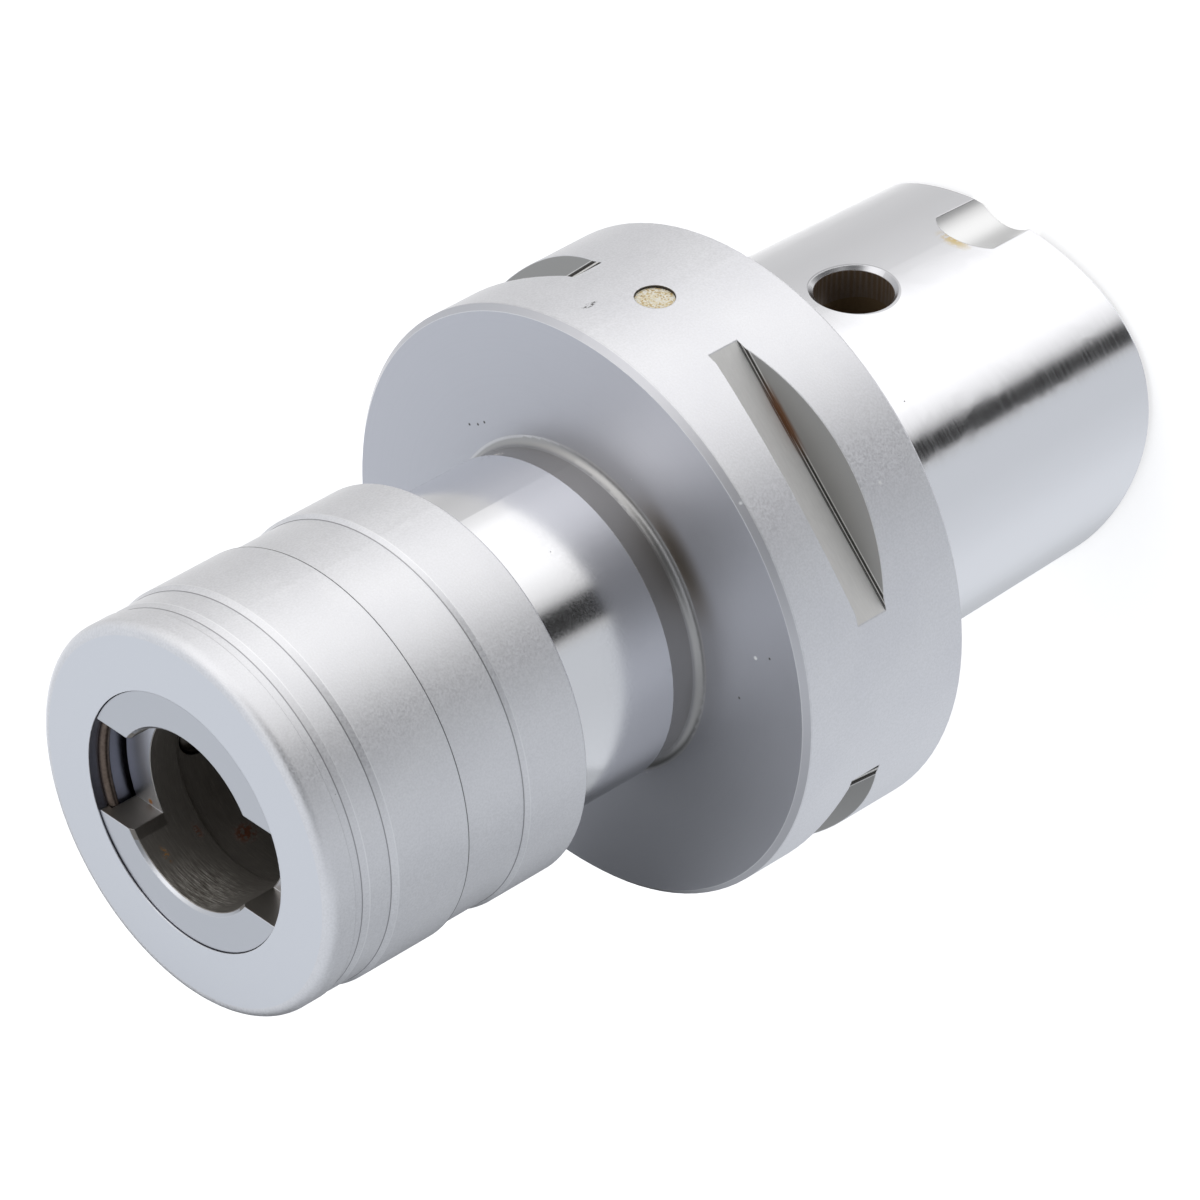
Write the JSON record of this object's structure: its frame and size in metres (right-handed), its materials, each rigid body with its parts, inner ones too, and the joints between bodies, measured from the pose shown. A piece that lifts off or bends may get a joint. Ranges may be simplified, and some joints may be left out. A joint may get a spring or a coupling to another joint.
{
  "type": "tapping chuck",
  "caption": "Quick-change tapping chuck with a sprung length-compensating spindle, a push-back release sleeve and a flanged hollow polygonal taper shank.",
  "frame": {"origin": "centre of the shank's end face, on the tool axis, on the surface it stands on", "axes": "+Z along the tool axis from the shank end to the nose; +X through the countersunk hole in the shank's flat; the drive slots lie along Y"},
  "size_m": [0.063, 0.063, 0.1112],
  "materials": {
    "holder_steel": "satin",
    "spindle_steel": "satin",
    "sleeve_steel": "satin",
    "wiper_plastic": "matte",
    "ring_wire_steel": "rough",
    "spring_steel": "satin",
    "seal_rubber": "matte",
    "black_bolt_steel": "satin",
    "bush_brass": "satin",
    "ball_steel": "polished",
    "plug_filler": "rough"
  },
  "bodies": {
    "holder": {"holder_body": "holder_steel", "spindle_seal": "seal_rubber", "float_bolt": "black_bolt_steel", "bolt_washer": "black_bolt_steel", "abutment_nut": "black_bolt_steel", "drive_pin_1": "ball_steel", "drive_pin_2": "ball_steel", "rim_plug_1": "plug_filler", "rim_plug_2": "plug_filler", "compression_spring": "spring_steel", "extension_spring": "spring_steel"},
    "spindle": {"spindle": "spindle_steel", "end_bush": "bush_brass", "spring_collar": "spindle_steel", "collar_snap_ring": "ring_wire_steel", "sleeve_spring": "spring_steel"},
    "sleeve": {"release_sleeve": "sleeve_steel", "guard_skirt": "sleeve_steel", "wiper_ring": "wiper_plastic", "nose_snap_ring": "ring_wire_steel"},
    "ball_1": {"locking_ball_1": "ball_steel"},
    "ball_2": {"locking_ball_2": "ball_steel"}
  },
  "joints": [
    {"name": "float_slide", "type": "slide", "parent": "holder", "child": "spindle", "axis": [0, 0, 1], "range_m": [-0.006, 0.006], "stiffness_N_per_m": 20000, "deforming": ["compression_spring", "extension_spring"]},
    {"name": "sleeve_slide", "type": "slide", "parent": "spindle", "child": "sleeve", "axis": [0, 0, -1], "range_m": [0, 0.004], "stiffness_N_per_m": 3000, "springref_m": -0.004, "deforming": ["sleeve_spring"]},
    {"name": "ball_1_slide", "type": "slide", "parent": "spindle", "child": "ball_1", "axis": [0, 1, 0], "range_m": [0, 0.001]},
    {"name": "ball_2_slide", "type": "slide", "parent": "spindle", "child": "ball_2", "axis": [0, -1, 0], "range_m": [0, 0.001]}
  ],
  "couplings": [
    {"joint": "ball_1_slide", "follows": "sleeve_slide", "ratio": 0.25},
    {"joint": "ball_2_slide", "follows": "sleeve_slide", "ratio": 0.25}
  ]
}
